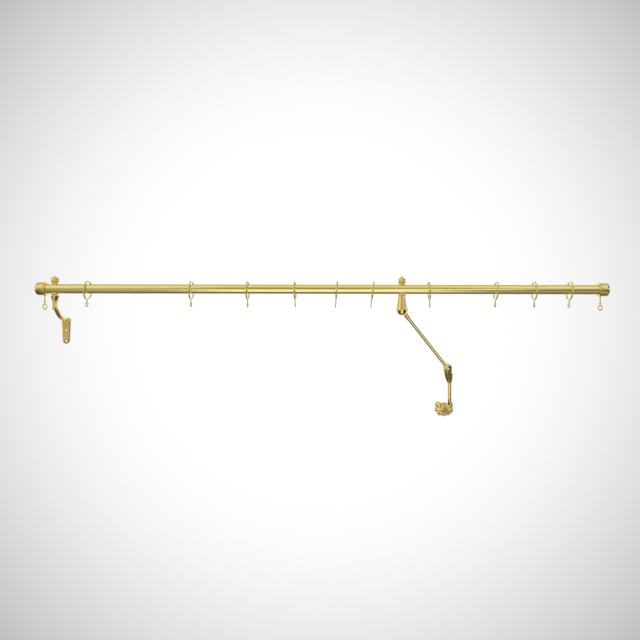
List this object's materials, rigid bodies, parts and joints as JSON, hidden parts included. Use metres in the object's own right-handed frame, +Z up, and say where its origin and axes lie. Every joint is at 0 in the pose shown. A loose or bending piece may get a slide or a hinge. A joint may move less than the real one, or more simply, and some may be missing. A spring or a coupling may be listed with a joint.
{
  "type": "swing arm curtain rod",
  "caption": "Polished brass curtain rod on a hinged swan-neck wall bracket, with sliding rings, end eyes and a jointed arm down to a cast door rose.",
  "frame": {"origin": "centre of the wall plate's two screw holes, on the plate's back face", "axes": "+X along the rod from the swing bracket, +Y into the wall, +Z up"},
  "size_m": [1.1414, 0.0633, 0.2889],
  "materials": {
    "rod_brass": "polished and lacquered tube",
    "cast_brass": "polished casting",
    "turned_brass": "polished turning",
    "ring_brass": "polished wire",
    "plain_steel": "plain steel screw"
  },
  "bodies": {
    "bracket_body": {"wall_bracket": "cast_brass", "swing_screw": "plain_steel"},
    "knuckle_body": {"knuckle": "cast_brass"},
    "rod_body": {"rod_fork": "cast_brass", "tilt_pin": "turned_brass", "rod_tube": "rod_brass", "left_end_cap": "turned_brass", "right_end_cap": "turned_brass", "left_end_eye": "turned_brass", "right_end_eye": "turned_brass", "fork_stud": "plain_steel", "fork_finial_collar": "turned_brass", "fork_finial": "turned_brass", "link_stud": "plain_steel", "link_finial_collar": "turned_brass", "link_finial": "turned_brass", "link_saddle": "turned_brass"},
    "yoke_body": {"link_yoke": "cast_brass", "yoke_pin": "turned_brass"},
    "arm_body": {"arm_upper_tongue": "turned_brass", "arm_bar": "turned_brass", "arm_ferrule": "turned_brass", "arm_lower_tongue": "turned_brass"},
    "post_body": {"door_post": "cast_brass", "elbow_pin": "turned_brass"},
    "rose_body": {"door_rose": "cast_brass", "post_screw": "plain_steel"},
    "ring_body_01": {"ring_01": "ring_brass", "ring_eye_01": "ring_brass"},
    "ring_body_02": {"ring_02": "ring_brass", "ring_eye_02": "ring_brass"},
    "ring_body_03": {"ring_03": "ring_brass", "ring_eye_03": "ring_brass"},
    "ring_body_04": {"ring_04": "ring_brass", "ring_eye_04": "ring_brass"},
    "ring_body_05": {"ring_05": "ring_brass", "ring_eye_05": "ring_brass"},
    "ring_body_06": {"ring_06": "ring_brass", "ring_eye_06": "ring_brass"},
    "ring_body_07": {"ring_07": "ring_brass", "ring_eye_07": "ring_brass"},
    "ring_body_08": {"ring_08": "ring_brass", "ring_eye_08": "ring_brass"},
    "ring_body_09": {"ring_09": "ring_brass", "ring_eye_09": "ring_brass"},
    "ring_body_10": {"ring_10": "ring_brass", "ring_eye_10": "ring_brass"}
  },
  "joints": [
    {"name": "rod_swing", "type": "hinge", "parent": "bracket_body", "child": "knuckle_body", "pos_m": [0, -0.05, 0.0671], "axis": [0, 0, -1], "range_deg": [0, 95]},
    {"name": "rod_rise", "type": "hinge", "parent": "knuckle_body", "child": "rod_body", "pos_m": [0, -0.05, 0.0745], "axis": [0, -1, 0], "range_deg": [0, 5]},
    {"name": "yoke_swivel", "type": "hinge", "parent": "rod_body", "child": "yoke_body", "pos_m": [0.6933, -0.05, 0.072], "axis": [0, 0, 1], "continuous": true},
    {"name": "arm_pivot", "type": "hinge", "parent": "yoke_body", "child": "arm_body", "pos_m": [0.6933, -0.05, 0.0528], "axis": [0, -1, 0], "range_deg": [-35, 25]},
    {"name": "elbow_pivot", "type": "hinge", "parent": "arm_body", "child": "post_body", "pos_m": [0.78573, -0.05, -0.06432], "axis": [0, -1, 0], "range_deg": [-35, 35]},
    {"name": "post_swivel", "type": "hinge", "parent": "post_body", "child": "rose_body", "pos_m": [0.78913, -0.05, -0.11492], "axis": [0, 0, 1], "continuous": true},
    {"name": "ring_slide_01", "type": "slide", "parent": "rod_body", "child": "ring_body_01", "axis": [1, 0, 0], "range_m": [-0.0503, 0.0996]},
    {"name": "ring_slide_02", "type": "slide", "parent": "rod_body", "child": "ring_body_02", "axis": [1, 0, 0], "range_m": [-0.1011, 0.0537]},
    {"name": "ring_slide_03", "type": "slide", "parent": "rod_body", "child": "ring_body_03", "axis": [1, 0, 0], "range_m": [-0.0543, 0.0453]},
    {"name": "ring_slide_04", "type": "slide", "parent": "rod_body", "child": "ring_body_04", "axis": [1, 0, 0], "range_m": [-0.0447, 0.039]},
    {"name": "ring_slide_05", "type": "slide", "parent": "rod_body", "child": "ring_body_05", "axis": [1, 0, 0], "range_m": [-0.0369, 0.0312]},
    {"name": "ring_slide_06", "type": "slide", "parent": "rod_body", "child": "ring_body_06", "axis": [1, 0, 0], "range_m": [-0.0298, 0.0453]},
    {"name": "ring_slide_07", "type": "slide", "parent": "rod_body", "child": "ring_body_07", "axis": [1, 0, 0], "range_m": [-0.0426, 0.0632]},
    {"name": "ring_slide_08", "type": "slide", "parent": "rod_body", "child": "ring_body_08", "axis": [1, 0, 0], "range_m": [-0.0629, 0.034]},
    {"name": "ring_slide_09", "type": "slide", "parent": "rod_body", "child": "ring_body_09", "axis": [1, 0, 0], "range_m": [-0.0361, 0.0333]},
    {"name": "ring_slide_10", "type": "slide", "parent": "rod_body", "child": "ring_body_10", "axis": [1, 0, 0], "range_m": [-0.0312, 0.0502]}
  ]
}
